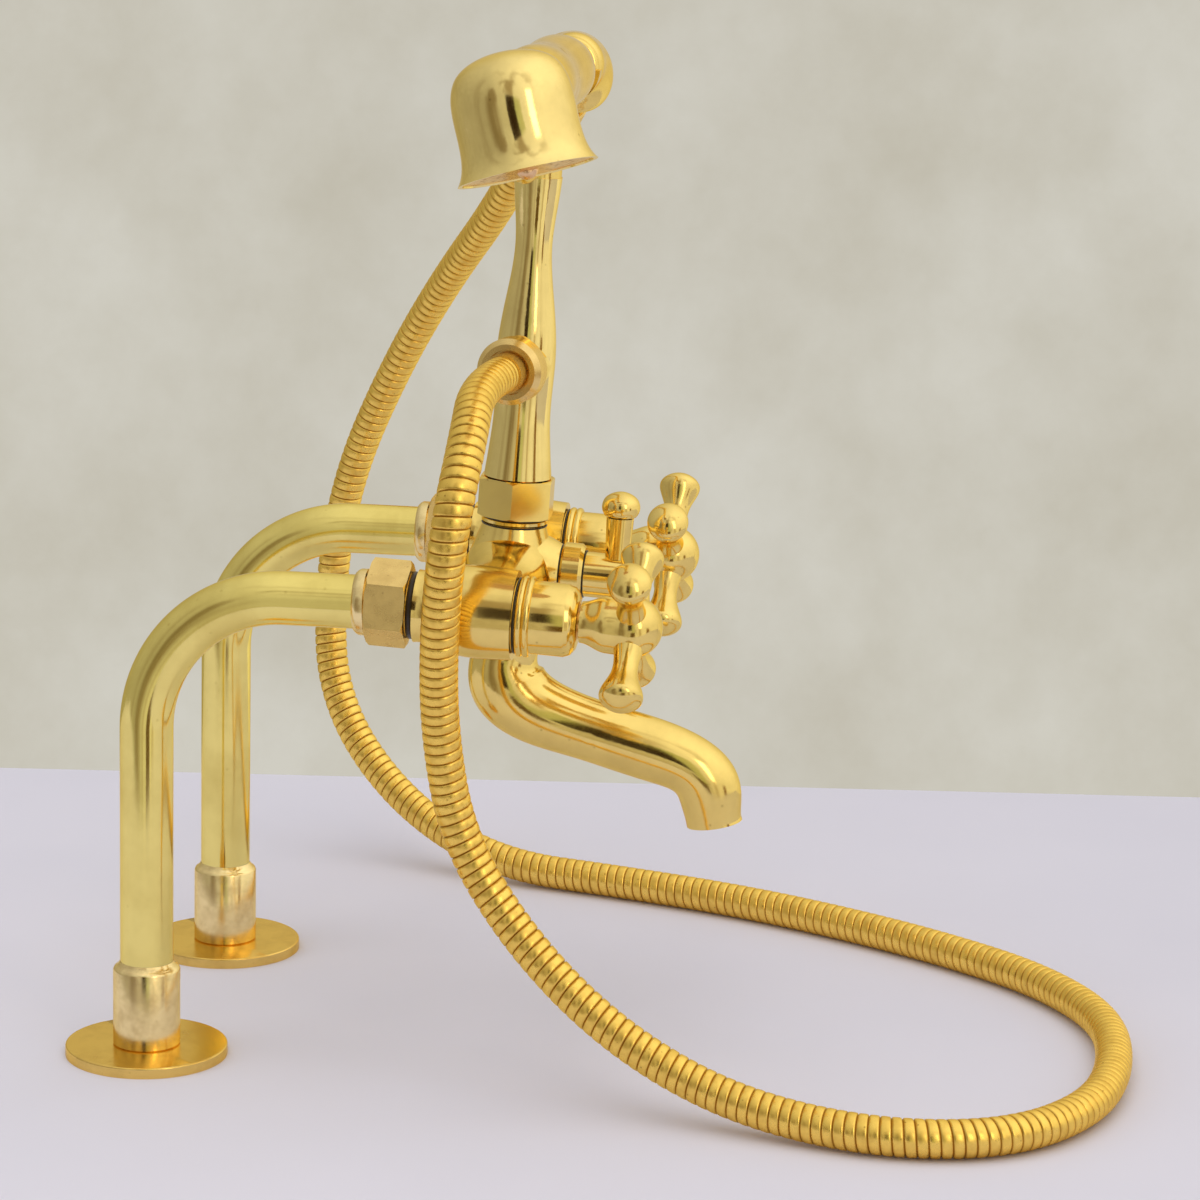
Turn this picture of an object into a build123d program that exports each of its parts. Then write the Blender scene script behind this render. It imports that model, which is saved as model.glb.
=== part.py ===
from build123d import *
import math
import os

# Bath shower mixer: two bent supply legs, a two-handle body, a lever diverter, a cast spout,
# a riser with a cradle, and a telephone-pattern handset on a metal hose.
# The origin is on the deck, midway between the two legs. +Z is up, -Y is towards the bather,
# and the legs stand on the X axis. Lengths are in millimetres and angles in degrees.

# Legs
leg_spacing = 150.0
tube_outer = 22.0
tube_wall = 1.3
inlet_height = 197.25
leg_bend_radius = 57.0
tube_reach = 90.5

# Deck flanges and under-deck fixings
flange_outer = 67.4
flange_thick = 4.5
flange_edge = 0.7
gasket_thick = 1.5
gasket_band = 10.0
gasket_inset = 6.0
collar_outer = 27.8
collar_height = 34.3
collar_rim = 2.0
collar_foot = 0.6
collar_socket = 22.0
solder_height = 1.6
tail_outer = 20.955
tail_end_length = 24.0
tail_relief_length = 2.0
tail_relief_outer = 19.6
shank_outer = 21.6
tail_bore = 15.0
tail_entry = 10.0
tail_drop = 58.0
deck_thick = 20.0
washer_outer = 44.0
washer_thick = 2.0
backnut_flats = 30.0
backnut_height = 8.0
slip_gap = 0.05

# Unions between the legs and the body
union_ring_outer = 27.0
union_ring_length = 4.8
union_ring_start = 86.6
union_neck_outer = 21.2
union_bore = 17.0
union_flange_outer = 24.6
union_flange_thick = 3.0
union_lip = 3.5
union_lip_play = 0.9
union_face = 104.0
union_nut_flats = 31.2
union_nut_length = 16.4
left_union_nut_turn = 25.4
right_union_nut_turn = 2.0
union_nut_gap = 0.85
union_seal_thick = 2.2
union_seal_outer = 24.0
inlet_thread_outer = 26.44
nut_chamfer = 1.6
thread_play = 0.12
body_droop = 2.8

# Mixer body
bulb_neck_radius = 14.8
bulb_radius = 18.7
bulb_front_radius = 18.2
bulb_neck_ahead = 7.6
bulb_neck_start = union_face + bulb_neck_ahead
bulb_front_ahead = 40.4
bulb_front_reach = bulb_neck_start + bulb_front_ahead
valve_bore_radius = 11.0
valve_bore_depth = 36.0
column_ahead = 34.9
column_reach = union_face + column_ahead
cross_tube_radius = 12.8
cross_bore_radius = 7.0
barrel_radius = 20.5
barrel_rise = 22.15
barrel_top = inlet_height + barrel_rise
barrel_neck_radius = 13.4
barrel_fall = 25.75
barrel_bottom = inlet_height - barrel_fall
barrel_root_radius = 15.6
chamber_radius = 8.5
front_boss_radius = 11.6
front_boss_ahead = 21.1
front_boss_reach = column_reach + front_boss_ahead
diverter_rise = 3.5

# Valves
bead_ring_radius = 16.4
bead_ring_length = 5.6
bead_gap = 1.4
bead_overlap = 1.08
shroud_radius = 14.8
shroud_ahead = 38.7
shroud_reach = column_reach + shroud_ahead
shroud_shoulder = 5.0
cartridge_radius = 10.9
cartridge_nose_radius = 7.2
cartridge_nose = 6.0
disc_radius = 9.6
disc_thick = 2.6
disc_port = 3.0
spindle_radius = 4.0
spindle_end_ahead = 24.4
spindle_end_reach = shroud_reach + spindle_end_ahead
o_ring_wire = 1.2
running_fit = 0.06

# Handles
handle_gap_ahead = 1.0
handle_start = shroud_reach + handle_gap_ahead
skirt_radius = 8.4
skirt_swell_radius = 11.4
hub_ahead = 20.5
hub_reach = handle_start + hub_ahead
hub_radius = 12.6
arm_neck_radius = 5.4
arm_ball_radius = 8.8
arm_ball_centre = 31.0
arm_length = 38.8
left_arm_turn = 46.0
right_arm_turn = 54.0
handle_screw_radius = 2.5
handle_screw_head = 4.3
handle_screw_head_height = 3.0
cap_radius = 6.2
cap_height = 2.4
cap_dome = 1.6

# Diverter
collar_ring_radius = 12.7
collar_ring_ahead = 10.0
collar_ring_reach = front_boss_reach + collar_ring_ahead
diverter_radius = 9.5
diverter_end_ahead = 22.6
diverter_end = collar_ring_reach + diverter_end_ahead
pin_ahead = 13.4
pin_reach = collar_ring_reach + pin_ahead
pin_foot_radius = 5.2
pin_top_radius = 5.8
pin_height = 25.6
pin_spigot_radius = 3.0
pin_spigot_depth = 4.0
knob_radius = 8.0
knob_height = 11.0
knob_groove = 0.7
plug_radius = 7.6
plug_length = 12.0

# Spout
spout_wall = 3.0
spout_gap = 0.3
spout_top = barrel_bottom - spout_gap
spout_spigot_radius = 11.0
spout_spigot_length = 7.0
spout_seal_thick = 1.4
mouth_ahead = 94.5
mouth_reach = column_reach + mouth_ahead
mouth_fall = 72.8
mouth_height = barrel_bottom - mouth_fall
mouth_radius = 11.9

# Column
column_nut_flats = 30.0
column_nut_turn = 1.5
column_nut_rise = 3.9
column_nut_bottom = barrel_top + column_nut_rise
column_nut_height = 16.3
column_nut_lip = 4.0
column_thread_height = 6.5
column_bead_radius = 13.9
column_bead_height = 2.4
column_seal_thick = 2.0
riser_gap = 0.5
riser_foot_radius = 14.2
riser_waist_radius = 11.9
riser_hip_radius = 12.4
riser_neck_radius = 7.7
riser_head_radius = 10.0
riser_waist_rise = 42.7
riser_waist_height = column_nut_bottom + riser_waist_rise
riser_hip_rise = 26.0
riser_hip_height = riser_waist_height + riser_hip_rise
riser_neck_rise = 46.0
riser_neck_height = riser_hip_height + riser_neck_rise
riser_head_rise = 28.0
riser_head_height = riser_neck_height + riser_head_rise
riser_tail_radius = 10.4
riser_bore_radius = 6.0

# Hose outlet on the riser
outlet_rise = 21.3
outlet_height = riser_waist_height + outlet_rise
outlet_turn = 8.5
boss_radius = 11.8
boss_reach = 12.4
nipple_radius = 10.4
nipple_length = 7.0
hose_nut_radius = 13.8
hose_nut_length = 11.6
hose_nut_bevel = 2.2
hose_nut_lip = 3.0
hose_washer_thick = 1.5
ferrule_radius = 8.5
ferrule_flange_radius = 10.0
ferrule_flange_thick = 2.0
ferrule_length = 13.6
ferrule_play = 0.9
ferrule_wall = 2.0
hose_outer = 15.6

# Handset and cradle
handset_rise = 40.0
handset_height = riser_head_height + handset_rise
grip_near = 56.0
grip_far = 58.0
grip_radius = 14.9
grip_end_radius = 12.0
neck_radius = 11.0
bead_start = 75.0
bead_length = 6.5
bead_radius = 12.3
fork_reach = 66.0
fork_width = 7.0
fork_wall = 3.6
fork_play = 0.3
cradle_arm_radius = 4.5
fork_arm_run = 16.0
cradle_hub_radius = 9.6
cradle_hub_height = 10.0
cradle_spigot_radius = 5.0
cradle_spigot_length = 8.0
elbow_start = 81.5
elbow_bend_radius = 27.0
elbow_bend = 53.0
elbow_roll = 27.3
elbow_tail = 9.0
elbow_knuckle_radius = 18.9
elbow_end_radius = 11.6
handset_bore = 4.5
rose_centre = 97.0
rose_radius = 24.0
rose_rim_radius = 27.8
rose_length = 47.4
rose_apex = 17.6
rose_wall = 1.8
rose_tilt = 8.0
rose_roll = 18.0
rose_socket_radius = 9.0
rose_socket_depth = 3.0
plate_thick = 1.6
plate_inset = 0.6
spray_hole_radius = 0.7
rose_screw_radius = 4.4
rose_screw_head = 3.2
rose_screw_shank = 2.0

cut_over = 1.0

# Hose route between the two ferrules, which each give their own end and first corner
hose_first_run = 33.0
hose_last_run = 52.0
hose_middle = [
    (-98.0, -136.0, 271.0),
    (-116.5, -134.5, 240.0),
    (-119.0, -130.5, 198.0),
    (-115.5, -127.5, 155.0),
    (-113.5, -136.0, 112.0),
    (-115.0, -159.0, 75.0),
    (-118.0, -191.0, 43.0),
    (-121.5, -228.0, 20.0),
    (-131.0, -268.0, 9.5),
    (-143.0, -316.0, 8.1),
    (-131.0, -362.0, 8.0),
    (-91.0, -392.0, 8.0),
    (-38.0, -402.5, 8.0),
    (22.0, -399.0, 8.0),
    (72.0, -371.0, 8.0),
    (110.0, -328.0, 8.0),
    (142.0, -279.0, 8.0),
    (168.0, -228.0, 8.0),
    (187.5, -171.0, 8.0),
    (204.5, -104.0, 8.5),
    (230.0, -51.0, 32.0),
    (251.0, -15.0, 75.0),
    (261.0, -11.0, 132.0),
    (256.3, -21.5, 189.5),
    (240.8, -46.3, 244.3),
    (216.5, -74.0, 290.5),
]

os.makedirs("parts", exist_ok=True)


def save(piece, name):
    piece.label = name
    export_step(piece, f"parts/{name}.step")


# Placing helpers: forward() turns a piece built along +Z to point at the bather, and droop()
# turns a piece about the union seats, where the body hangs a little nose-down on its legs
def forward(piece, across=0.0, height=inlet_height):
    return Plane(origin=(across, 0, height), x_dir=(1, 0, 0), z_dir=(0, -1, 0)) * piece


def droop(piece):
    return piece.rotate(Axis((0, -union_face, inlet_height), (1, 0, 0)), body_droop)


def both_sides(name, maker):
    for side, sign in (("left", -1), ("right", 1)):
        save(maker(sign * leg_spacing / 2), f"{side}_{name}")


# Solids of revolution about Z from (height, radius) points: straight or smooth outlines
def lathe(*points):
    outline = [(0, points[0][0])] + [(radius, height) for height, radius in points] + [(0, points[-1][0])]
    return revolve(Plane.XZ * make_face(Polyline(*outline, close=True)), Axis.Z)


def smooth_lathe(*points, start=None, end=None):
    curve_points = [(radius, height) for height, radius in points]
    tangents = [start, end] if start and end else None
    curve = Spline(*curve_points, tangents=tangents) if tangents else Spline(*curve_points)
    ends = Polyline(curve_points[-1], (0, points[-1][0]), (0, points[0][0]), curve_points[0])
    return revolve(Plane.XZ * make_face(curve + ends), Axis.Z)


def disc(radius, low, high):
    return Pos(0, 0, (low + high) / 2) * Cylinder(radius, high - low)


def ring(outer, inner, low, high):
    return disc(outer, low, high) - disc(inner, low - cut_over, high + cut_over)


def hexagon(flats, low, high, chamfer_size, bore):
    blank = extrude(Plane.XY.offset(low) * RegularPolygon(flats / 2, 6, major_radius=False), high - low)
    corner = flats / math.sqrt(3)
    slope = chamfer_size * math.tan(math.radians(30))
    cone_radius = corner - chamfer_size
    trimmer = lathe((low, cone_radius), (low + slope, corner), (high - slope, corner), (high, cone_radius))
    return (blank & trimmer) - disc(bore, low - cut_over, high + cut_over)


# Legs: deck flange, collar, bent tube and the fixings under the deck
def deck_flange(x):
    plate = disc(flange_outer / 2, 0, flange_thick)
    plate = fillet(plate.edges().group_by(Axis.Z)[-1], flange_edge)
    recess = disc(flange_outer / 2 - gasket_inset, -cut_over, gasket_thick)
    bore = disc(shank_outer / 2 + slip_gap, -cut_over, flange_thick + cut_over)
    return Pos(x, 0, 0) * (plate - recess - bore)


def flange_gasket(x):
    outer = flange_outer / 2 - gasket_inset - slip_gap
    return Pos(x, 0, 0) * ring(outer, shank_outer / 2 + slip_gap, 0, gasket_thick)


def lower_collar(x):
    top = flange_thick + collar_height
    socket_floor = top - collar_socket
    radius = collar_outer / 2
    shell = lathe(
        (flange_thick, radius - collar_foot),
        (flange_thick + collar_foot, radius),
        (top - collar_rim, radius),
        (top - collar_rim / 2, radius - collar_rim / 4),
        (top, tube_outer / 2 + collar_rim / 2),
    )
    solder = lathe((top, tube_outer / 2 + collar_rim / 2), (top + solder_height, tube_outer / 2 + slip_gap))
    shell = shell + solder
    shell -= disc(tube_outer / 2 + slip_gap, socket_floor, top + solder_height + cut_over)
    shell -= disc(tail_bore / 2, flange_thick, socket_floor + cut_over)
    shell -= disc(shank_outer / 2 + slip_gap, flange_thick - cut_over, flange_thick + tail_entry)
    return Pos(x, 0, 0) * shell


def leg_tube(x):
    foot = flange_thick + collar_height - collar_socket
    path = FilletPolyline((x, 0, foot), (x, 0, inlet_height), (x, -tube_reach, inlet_height), radius=leg_bend_radius)
    section = Plane(origin=path @ 0, z_dir=path % 0)
    wall = section * (Circle(tube_outer / 2) - Circle(tube_outer / 2 - tube_wall))
    return sweep(wall, path)


def deck_tail(x):
    end_top = tail_end_length - tail_drop
    shank_low = end_top + tail_relief_length
    tail = lathe(
        (-tail_drop, tail_outer / 2),
        (end_top, tail_outer / 2),
        (end_top, tail_relief_outer / 2),
        (shank_low, tail_relief_outer / 2),
        (shank_low, shank_outer / 2),
        (flange_thick + tail_entry, shank_outer / 2),
    )
    return Pos(x, 0, 0) * (tail - disc(tail_bore / 2, -tail_drop - cut_over, flange_thick + tail_entry + cut_over))


def deck_washer(x):
    return Pos(x, 0, 0) * ring(washer_outer / 2, shank_outer / 2 + slip_gap, -deck_thick - washer_thick, -deck_thick)


def backnut(x):
    top = -deck_thick - washer_thick
    return Pos(x, 0, 0) * hexagon(backnut_flats, top - backnut_height, top, nut_chamfer, shank_outer / 2 + slip_gap)


# Unions: a soldered tail on each leg, a seal, and a hexagon nut that turns on the tail
union_nut_start = union_ring_start + union_ring_length + union_nut_gap
union_nut_end = union_nut_start + union_nut_length
inlet_face = union_face + union_seal_thick


def union_tail(x):
    radius = union_ring_outer / 2
    ring_end = union_ring_start + union_ring_length
    tail = lathe(
        (union_ring_start, tube_outer / 2 + collar_rim / 2),
        (union_ring_start + collar_rim / 2, radius - collar_rim / 4),
        (union_ring_start + collar_rim, radius),
        (ring_end, radius),
        (ring_end, union_neck_outer / 2),
        (union_face - union_flange_thick, union_neck_outer / 2),
        (union_face - union_flange_thick, union_flange_outer / 2),
        (union_face, union_flange_outer / 2),
    )
    tail -= disc(tube_outer / 2 + slip_gap, union_ring_start - cut_over, tube_reach)
    tail -= disc(union_bore / 2, union_ring_start, union_face + cut_over)
    return forward(tail, x)


def union_nut(x):
    lip_end = union_nut_start + union_lip
    nut = hexagon(union_nut_flats, union_nut_start, union_nut_end, nut_chamfer, union_neck_outer / 2 + union_lip_play)
    nut -= disc(inlet_thread_outer / 2 + thread_play, lip_end, union_nut_end + cut_over)
    nut = Rot(0, 0, left_union_nut_turn if x < 0 else right_union_nut_turn) * nut
    return droop(forward(nut, x))


def union_seal(x):
    blank = forward(ring(union_seal_outer / 2, union_bore / 2, union_face, inlet_face + union_seal_thick), x)
    body_face = droop(forward(disc(union_nut_flats, inlet_face, inlet_face + union_nut_flats), x))
    return blank - body_face


# Mixer body: two valve bulbs on a cross tube, a centre barrel, and a boss for the diverter
def valve_bulb():
    inlet = disc(inlet_thread_outer / 2, inlet_face, bulb_neck_start)
    bulb_length = bulb_front_reach - bulb_neck_start
    swell = bulb_radius - bulb_neck_radius
    bulb = smooth_lathe(
        (bulb_neck_start, bulb_neck_radius),
        (bulb_neck_start + 0.11 * bulb_length, bulb_neck_radius + 0.03 * swell),
        (bulb_neck_start + 0.23 * bulb_length, bulb_neck_radius + 0.40 * swell),
        (bulb_neck_start + 0.45 * bulb_length, bulb_neck_radius + 0.93 * swell),
        (bulb_neck_start + 0.78 * bulb_length, bulb_radius),
        (bulb_front_reach, bulb_front_radius),
    )
    return inlet + bulb


def mixer_body():
    half = leg_spacing / 2
    cross_end = half - shroud_radius
    flare = barrel_radius - cross_tube_radius
    arm = smooth_lathe(
        (barrel_radius * 0.30, cross_tube_radius + 0.95 * flare),
        (barrel_radius * 0.75, cross_tube_radius + 0.62 * flare),
        (barrel_radius * 1.25, cross_tube_radius + 0.20 * flare),
        (cross_end * 0.62, cross_tube_radius),
        (cross_end, cross_tube_radius),
    )
    body = Pos(0, -column_reach, inlet_height) * Rot(0, 90, 0) * arm
    body += Pos(0, -column_reach, inlet_height) * Rot(0, -90, 0) * arm
    for side in (-half, half):
        body += forward(valve_bulb(), side)
    middle = inlet_height
    barrel = smooth_lathe(
        (barrel_bottom, barrel_root_radius),
        (middle - barrel_radius * 0.7, barrel_radius * 0.93),
        (middle, barrel_radius),
        (middle + barrel_radius * 0.62, barrel_radius * 0.82),
        (barrel_top, barrel_neck_radius),
    )
    column = Pos(0, -column_reach, 0)
    body += column * barrel
    body += column * disc(inlet_thread_outer / 2, barrel_top - cut_over, column_nut_bottom + column_thread_height)
    bead_low = (barrel_top + column_nut_bottom - column_bead_height) / 2
    bead_edge = column_bead_height / 4
    bead = lathe(
        (bead_low, column_bead_radius - bead_edge),
        (bead_low + bead_edge, column_bead_radius),
        (bead_low + column_bead_height - bead_edge, column_bead_radius),
        (bead_low + column_bead_height, column_bead_radius - bead_edge),
    )
    body += column * bead
    boss = smooth_lathe(
        (column_reach, barrel_radius * 0.9),
        (column_reach + 0.6 * (front_boss_reach - column_reach), barrel_radius * 0.75),
        (front_boss_reach, front_boss_radius),
    )
    body += forward(boss, 0, inlet_height + diverter_rise)
    for side in (-half, half):
        bore_start = bulb_front_reach - valve_bore_depth
        body -= forward(disc(valve_bore_radius, bore_start, bulb_front_reach + cut_over), side)
        body -= forward(disc(union_bore / 2, inlet_face - cut_over, bore_start + cut_over), side)
    body -= Pos(0, -column_reach, inlet_height) * Rot(0, 90, 0) * Cylinder(cross_bore_radius, leg_spacing)
    top = column_nut_bottom + column_thread_height
    body -= column * disc(chamber_radius, barrel_bottom - cut_over, top + cut_over)
    body -= column * disc(spout_spigot_radius + slip_gap, barrel_bottom - cut_over, barrel_bottom + spout_spigot_length)
    boss_bore = disc(chamber_radius, column_reach - plug_length / 2 - cut_over, front_boss_reach + cut_over)
    body -= forward(boss_bore, 0, inlet_height + diverter_rise)
    return droop(body)


# Valves: shroud, ceramic-disc cartridge and spindle
shroud_start = bulb_front_reach
bead_end = shroud_start + bead_gap + bead_ring_length


def valve_shroud(x):
    bead = bead_ring_length / 2
    first = shroud_start + bead_gap + bead / 2
    body = lathe(
        (shroud_start, shroud_radius),
        (shroud_reach - shroud_shoulder, shroud_radius),
        (shroud_reach - shroud_shoulder * 0.45, shroud_radius * 0.93),
        (shroud_reach - shroud_shoulder * 0.1, shroud_radius * 0.78),
        (shroud_reach, shroud_radius * 0.66),
    )
    for step in range(2):
        bead_wire = bead / 2 * bead_overlap
        body += Pos(0, 0, first + step * bead) * Torus(bead_ring_radius - bead_wire, bead_wire)
    body -= disc(cartridge_radius + slip_gap, shroud_start - cut_over, shroud_reach - shroud_shoulder)
    body -= disc(cartridge_nose_radius + slip_gap, shroud_start, shroud_reach + cut_over)
    return droop(forward(body, x))


cartridge_end = shroud_reach - shroud_shoulder
o_ring_seat = cartridge_end - cartridge_nose
o_ring_centre = spindle_radius + running_fit + o_ring_wire
valve_floor = bulb_front_reach - valve_bore_depth


def valve_cartridge(x):
    start = valve_floor + 2 * disc_thick
    body = disc(cartridge_radius, start, cartridge_end)
    body += disc(cartridge_nose_radius, cartridge_end - cut_over, cartridge_end + cartridge_nose - cut_over)
    body -= disc(spindle_radius + running_fit, start - cut_over, shroud_reach + cut_over)
    groove = Pos(0, 0, o_ring_seat) * Torus(o_ring_centre, o_ring_wire + slip_gap)
    return droop(forward(body - groove, x))




def o_ring(seat):
    return Pos(0, 0, seat) * Torus(o_ring_centre, o_ring_wire)


def fixed_disc(x):
    plate = disc(disc_radius, valve_floor, valve_floor + disc_thick)
    for side in (-1, 1):
        plate -= Pos(side * disc_radius / 2, 0, valve_floor + disc_thick / 2) * Cylinder(disc_port, 2 * disc_thick)
    return droop(forward(plate, x))


def turning_disc(x):
    low = valve_floor + disc_thick
    plate = disc(disc_radius, low, low + disc_thick)
    slot = Pos(disc_radius * 0.75, 0, low + disc_thick / 2) * Box(disc_radius, disc_port * 2, 2 * disc_thick)
    return droop(forward(plate - slot, x))


def spindle(x):
    low = valve_floor + 2 * disc_thick
    rod = disc(spindle_radius, low, spindle_end_reach)
    rod -= disc(handle_screw_radius, spindle_end_reach - 3 * handle_screw_radius, spindle_end_reach + cut_over)
    return droop(forward(rod, x))


# Handles: a hub with a skirt and four pear-ended arms, a screw and a plain cap
cap_seat = hub_reach + hub_radius - cap_dome - cap_height
screw_seat = spindle_end_reach + cut_over


def handle_arm():
    neck_end = arm_ball_centre - arm_ball_radius * 0.75
    arm = smooth_lathe(
        (hub_radius * 0.5, arm_neck_radius * 1.4),
        (hub_radius * 1.15, arm_neck_radius),
        (neck_end - arm_neck_radius * 0.4, arm_neck_radius * 1.02),
        (arm_ball_centre - arm_ball_radius * 0.25, arm_ball_radius * 0.9),
        (arm_ball_centre + arm_ball_radius * 0.3, arm_ball_radius),
        (arm_length - arm_ball_radius * 0.20, arm_ball_radius * 0.66),
        (arm_length, arm_ball_radius * 0.08),
    )
    return arm


def cross_handle(x):
    skirt_end = hub_reach - hub_radius * 0.6
    body = smooth_lathe(
        (handle_start, skirt_radius),
        (handle_start + 0.12 * (skirt_end - handle_start), skirt_radius * 1.02),
        (handle_start + 0.7 * (skirt_end - handle_start), skirt_swell_radius),
        (skirt_end, skirt_swell_radius * 1.03),
        (hub_reach - hub_radius * 0.1, hub_radius * 0.99),
    )
    body += Pos(0, 0, hub_reach) * Sphere(hub_radius)
    for quarter in range(4):
        arm = Pos(0, 0, hub_reach) * Rot(0, 0, 90 * quarter) * Rot(0, 90, 0) * handle_arm()
        body += arm
    body -= disc(spindle_radius + slip_gap, handle_start - cut_over, spindle_end_reach + slip_gap)
    body -= disc(handle_screw_radius + slip_gap, hub_reach, hub_reach + hub_radius)
    body -= disc(handle_screw_head + slip_gap, screw_seat, hub_reach + hub_radius + cut_over)
    body -= disc(cap_radius + slip_gap, cap_seat, hub_reach + hub_radius + cut_over)
    turn = left_arm_turn if x < 0 else right_arm_turn
    return droop(forward(Rot(0, 0, turn) * body, x))


def handle_screw(x):
    shank_end = spindle_end_reach - 2.5 * handle_screw_radius
    screw = disc(handle_screw_radius - slip_gap, shank_end, screw_seat + cut_over)
    screw += disc(handle_screw_head, screw_seat, screw_seat + handle_screw_head_height)
    slot_size = handle_screw_head * 0.25
    screw -= Pos(0, 0, screw_seat + handle_screw_head_height) * Box(3 * handle_screw_head, slot_size, slot_size * 2)
    return droop(forward(screw, x))


def handle_cap(x):
    cap = lathe((cap_seat, cap_radius), (cap_seat + cap_height, cap_radius))
    dome_radius = (cap_radius ** 2 + cap_dome ** 2) / (2 * cap_dome)
    dome = Pos(0, 0, cap_seat + cap_height + cap_dome - dome_radius) * Sphere(dome_radius)
    lens = dome & disc(cap_radius, cap_seat + cap_height, cap_seat + cap_height + 2 * cap_dome)
    return droop(forward(cap + lens, x))


# Diverter: a fixed collar, and a barrel, lever pin, knob and spindle that turn together
diverter_height = inlet_height + diverter_rise
barrel_start = collar_ring_reach + riser_gap


def diverter_collar():
    rounding = collar_ring_radius * 0.12
    start = front_boss_reach
    body = lathe(
        (start, collar_ring_radius - rounding),
        (start + rounding, collar_ring_radius),
        (collar_ring_reach - rounding, collar_ring_radius),
        (collar_ring_reach, collar_ring_radius - rounding),
    )
    body += disc(chamber_radius - slip_gap, start - plug_length / 2, start + cut_over)
    body -= disc(spindle_radius + running_fit, start - plug_length, collar_ring_reach + cut_over)
    groove = Pos(0, 0, start) * Torus(o_ring_centre, o_ring_wire + slip_gap)
    return droop(forward(body - groove, 0, diverter_height))


def diverter_barrel():
    body = disc(diverter_radius, barrel_start, diverter_end)
    body = fillet(body.edges().group_by(Axis.Z)[-1], diverter_radius * 0.22)
    body -= disc(spindle_radius + slip_gap, barrel_start - cut_over, pin_reach)
    hole = Pos(0, diverter_radius - pin_spigot_depth / 2, pin_reach) * Rot(90, 0, 0)
    body -= hole * Cylinder(pin_spigot_radius + slip_gap, pin_spigot_depth + slip_gap)
    return droop(forward(body, 0, diverter_height))


def upright(piece):
    return droop(Pos(0, -pin_reach, diverter_height) * piece)


def diverter_pin():
    seat = diverter_radius * 0.86
    body = lathe((seat, pin_foot_radius), (pin_height, pin_top_radius))
    body += disc(pin_spigot_radius, diverter_radius - pin_spigot_depth, seat + cut_over)
    body += disc(pin_spigot_radius, pin_height - cut_over, pin_height + knob_height / 2)
    body = Pos(0, -pin_reach, diverter_height) * body
    body -= forward(disc(diverter_radius + slip_gap, barrel_start, diverter_end), 0, diverter_height)
    spigot = disc(pin_spigot_radius, diverter_radius - pin_spigot_depth, seat + cut_over)
    return droop(body + Pos(0, -pin_reach, diverter_height) * spigot)


def diverter_knob():
    start = pin_height + knob_groove
    top = pin_height + knob_height
    body = smooth_lathe(
        (start, knob_radius * 0.82),
        (start + knob_height * 0.28, knob_radius),
        (start + knob_height * 0.62, knob_radius * 0.9),
        (top - knob_height * 0.06, knob_radius * 0.42),
        (top, knob_radius * 0.05),
    )
    body += ring(pin_top_radius * 0.8, pin_spigot_radius + slip_gap, pin_height, start + cut_over)
    body -= disc(pin_spigot_radius + slip_gap, pin_height - cut_over, pin_height + knob_height / 2)
    return upright(body)


def diverter_spindle():
    body = disc(spindle_radius, column_reach, pin_reach - slip_gap)
    plug = disc(plug_radius, column_reach - plug_length / 2, column_reach + plug_length / 2)
    flat = Pos(0, plug_radius, column_reach) * Box(3 * plug_radius, plug_radius, 2 * plug_length)
    body += plug - flat
    return droop(forward(body, 0, diverter_height))


# Spout: a cast tube of round sections along a swan bend, bored through to the mouth
spout_route_shares = [
    (0.0, 0.0),
    (0.012, 0.060),
    (0.0, 0.160),
    (0.054, 0.341),
    (0.285, 0.480),
    (0.541, 0.556),
    (0.752, 0.617),
    (0.922, 0.720),
    (0.987, 0.927),
    (1.0, 1.0),
]
spout_radius_shares = [
    (0.0, 1.294),
    (0.08, 1.244),
    (0.197, 1.361),
    (0.375, 1.168),
    (0.557, 1.134),
    (0.708, 1.126),
    (0.839, 1.118),
    (0.96, 1.034),
    (1.0, 1.0),
]


def spout_line():
    run = mouth_reach - column_reach
    fall = spout_top - mouth_height
    return Spline(*[(0, -column_reach - run * ahead, spout_top - fall * down) for ahead, down in spout_route_shares])


def spout():
    line = spout_line()
    column = Pos(0, -column_reach, 0)
    top_share = spout_radius_shares[0][1]
    sections = [Plane(origin=line @ 0, x_dir=(1, 0, 0), z_dir=(0, 0, -1)) * Circle(mouth_radius * top_share)]
    for place, share in spout_radius_shares[1:]:
        frame = Plane(origin=line @ place, x_dir=(1, 0, 0), z_dir=line % place)
        sections.append(frame * Circle(mouth_radius * share))
    body = loft(sections)
    body += column * disc(spout_spigot_radius, spout_top - cut_over, spout_spigot_top)
    bore = sweep(Plane(origin=line @ 0, x_dir=(1, 0, 0), z_dir=line % 0) * Circle(mouth_radius - spout_wall), line)
    body -= bore
    body -= column * disc(chamber_radius, spout_top - 3 * cut_over, spout_spigot_top + cut_over)
    return droop(body)


spout_spigot_top = barrel_bottom + spout_spigot_length - spout_seal_thick


def spout_seal():
    top = barrel_bottom + spout_spigot_length
    return droop(Pos(0, -column_reach, 0) * ring(spout_spigot_radius, chamber_radius, top - spout_seal_thick, top))


# Column: seal, hexagon nut, riser with its hose outlet, and the cradle
column_seat = column_nut_bottom + column_thread_height
column_nut_top = column_nut_bottom + column_nut_height
riser_bottom = column_nut_top + riser_gap
at_column = Pos(0, -column_reach, 0)


def column_seal():
    return droop(at_column * ring(riser_tail_radius, chamber_radius, column_seat, column_seat + column_seal_thick))


def column_nut():
    nut = hexagon(column_nut_flats, column_nut_bottom, column_nut_top, nut_chamfer, riser_tail_radius + running_fit)
    nut -= disc(inlet_thread_outer / 2 + slip_gap, column_nut_bottom - cut_over, column_nut_top - column_nut_lip)
    return droop(at_column * Rot(0, 0, column_nut_turn) * nut)


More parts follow.
